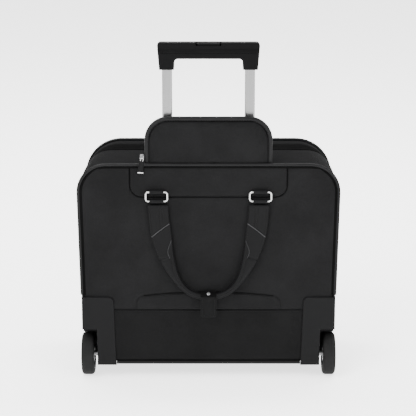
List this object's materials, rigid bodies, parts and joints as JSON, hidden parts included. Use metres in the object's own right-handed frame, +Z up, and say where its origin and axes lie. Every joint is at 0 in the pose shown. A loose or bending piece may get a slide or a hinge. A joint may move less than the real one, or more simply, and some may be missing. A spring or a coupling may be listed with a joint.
{
  "type": "rolling laptop case",
  "caption": "Soft-sided wheeled laptop case with a telescopic handle, a folding garage for its grip, ring-hung carry handles, corner guards and a zipped cover.",
  "frame": {"origin": "floor level under the middle of the case", "axes": "+Z up, +X along the width, -Y towards the side with the wheels and the telescopic handle"},
  "size_m": [0.4256, 0.2396, 0.5584],
  "materials": {
    "body_fabric": "plain-weave ballistic nylon, charcoal black, soft sheen",
    "panel_fabric": "coated nylon face panels, charcoal black",
    "piping": "synthetic leather piping, satin",
    "strap_fabric": "stitched synthetic leather strap",
    "webbing": "black woven webbing and zip tape",
    "lining": "grey woven lining over foam",
    "board": "black polypropylene board",
    "moulded_plastic": "fine spark-eroded black plastic",
    "grip_plastic": "satin black moulded grip",
    "tyre_rubber": "soft black thermoplastic rubber",
    "hub_plastic": "dark grey nylon",
    "tube_aluminium": "satin anodised, drawn lengthwise",
    "bright_metal": "polished nickel plating",
    "steel": "zinc plated steel"
  },
  "bodies": {
    "case": {"near_panel": "panel_fabric", "near_yoke": "panel_fabric", "near_arch_patch": "panel_fabric", "near_kick_panel": "panel_fabric", "main_shell": "body_fabric", "near_piping": "piping", "main_zip_near": "webbing", "frame_board": "board", "tube_bracket": "moulded_plastic", "laptop_sleeve": "lining", "base_tray": "moulded_plastic", "feet": "tyre_rubber", "garage_flap": "panel_fabric", "garage_binding": "webbing", "garage_zip_tape": "webbing", "trolley_bezel": "moulded_plastic", "case_screws": "steel", "outer_tube_left": "tube_aluminium", "outer_tube_right": "tube_aluminium", "corner_guard_left": "moulded_plastic", "corner_guard_right": "moulded_plastic", "wheel_axles": "steel", "near_ring_anchors": "strap_fabric"},
    "lower_stage": {"middle_tube_left": "tube_aluminium", "middle_tube_right": "tube_aluminium", "middle_collars": "moulded_plastic"},
    "upper_stage": {"inner_tube_left": "tube_aluminium", "inner_tube_right": "tube_aluminium", "grip_front_shell": "grip_plastic", "grip_rear_shell": "grip_plastic", "grip_screws": "steel", "button_spring": "steel"},
    "release": {"release_button": "grip_plastic", "push_rods": "steel"},
    "lock_pin_pair": {"lock_pins": "steel"},
    "wheel_left": {"wheel_tyre_left": "tyre_rubber", "wheel_hub_left": "hub_plastic", "wheel_bearings_left": "steel"},
    "wheel_right": {"wheel_tyre_right": "tyre_rubber", "wheel_hub_right": "hub_plastic", "wheel_bearings_right": "steel"},
    "near_ring_pair": {"near_rings": "bright_metal"},
    "near_handle": {"near_handle_strap": "strap_fabric", "near_handle_grip": "strap_fabric"},
    "keeper": {"near_keeper": "strap_fabric", "near_snap": "bright_metal"},
    "cover": {"cover_shell": "body_fabric", "far_piping": "piping", "far_pocket_bag": "lining", "main_zip_far": "webbing", "far_ring_anchors": "strap_fabric"},
    "far_ring_pair": {"far_rings": "bright_metal"},
    "far_handle": {"far_handle_strap": "strap_fabric", "far_handle_grip": "strap_fabric"},
    "main_zip_slider": {"main_slider": "bright_metal"},
    "main_zip_pull": {"main_pull": "bright_metal"},
    "garage_zip_slider": {"garage_slider": "bright_metal"},
    "garage_zip_pull": {"garage_pull": "webbing"},
    "rear_flap": {"garage_rear_flap": "panel_fabric"}
  },
  "joints": [
    {"name": "handle_lower_stage", "type": "slide", "parent": "case", "child": "lower_stage", "axis": [0, 0, 1], "range_m": [0, 0.26]},
    {"name": "handle_upper_stage", "type": "slide", "parent": "lower_stage", "child": "upper_stage", "axis": [0, 0, 1], "range_m": [-0.12, 0.14]},
    {"name": "release_press", "type": "slide", "parent": "upper_stage", "child": "release", "axis": [0, 0, 1], "range_m": [-0.004, 0], "stiffness_N_per_m": 600, "springref_m": 0.003},
    {"name": "lock_pin_draw", "type": "slide", "parent": "upper_stage", "child": "lock_pin_pair", "axis": [0, 1, 0], "range_m": [-0.002, 0]},
    {"name": "wheel_left_spin", "type": "hinge", "parent": "case", "child": "wheel_left", "pos_m": [-0.2005, -0.07655, 0.0355], "axis": [1, 0, 0], "continuous": true},
    {"name": "wheel_right_spin", "type": "hinge", "parent": "case", "child": "wheel_right", "pos_m": [0.2005, -0.07655, 0.0355], "axis": [1, 0, 0], "continuous": true},
    {"name": "near_rings_swing", "type": "hinge", "parent": "case", "child": "near_ring_pair", "pos_m": [0, -0.10655, 0.3202], "axis": [-1, 0, 0], "range_deg": [0, 90]},
    {"name": "near_handle_swing", "type": "hinge", "parent": "near_ring_pair", "child": "near_handle", "pos_m": [0, -0.10655, 0.305], "axis": [-1, 0, 0], "range_deg": [0, 85]},
    {"name": "keeper_swing", "type": "hinge", "parent": "near_handle", "child": "keeper", "pos_m": [0, -0.11155, 0.1455], "axis": [-1, 0, 0], "range_deg": [0, 100]},
    {"name": "far_rings_swing", "type": "hinge", "parent": "cover", "child": "far_ring_pair", "pos_m": [0, 0.10845, 0.3202], "axis": [1, 0, 0], "range_deg": [0, 90]},
    {"name": "far_handle_swing", "type": "hinge", "parent": "far_ring_pair", "child": "far_handle", "pos_m": [0, 0.10845, 0.305], "axis": [1, 0, 0], "range_deg": [0, 85]},
    {"name": "cover_open", "type": "hinge", "parent": "case", "child": "cover", "pos_m": [0, 0.10345, 0.03], "axis": [-1, 0, 0], "range_deg": [0, 88]},
    {"name": "main_zip_run", "type": "slide", "parent": "case", "child": "main_zip_slider", "axis": [-0.0148, 0, 0.9999], "range_m": [-0.03, 0.19]},
    {"name": "main_pull_swing", "type": "hinge", "parent": "main_zip_slider", "child": "main_zip_pull", "pos_m": [-0.20503, 0.03595, 0.0974], "axis": [0, 1, 0], "range_deg": [0, 90]},
    {"name": "garage_zip_run", "type": "slide", "parent": "case", "child": "garage_zip_slider", "axis": [0, 0, 1], "range_m": [0, 0.02]},
    {"name": "garage_pull_swing", "type": "hinge", "parent": "garage_zip_slider", "child": "garage_zip_pull", "pos_m": [-0.1072, -0.09935, 0.3761], "axis": [-1, 0, 0], "range_deg": [0, 90]},
    {"name": "rear_flap_raise", "type": "hinge", "parent": "case", "child": "rear_flap", "pos_m": [0, -0.05455, 0.3635], "axis": [1, 0, 0], "range_deg": [0, 90]}
  ],
  "couplings": [
    {"joint": "lock_pin_draw", "follows": "release_press", "ratio": 0.5}
  ]
}
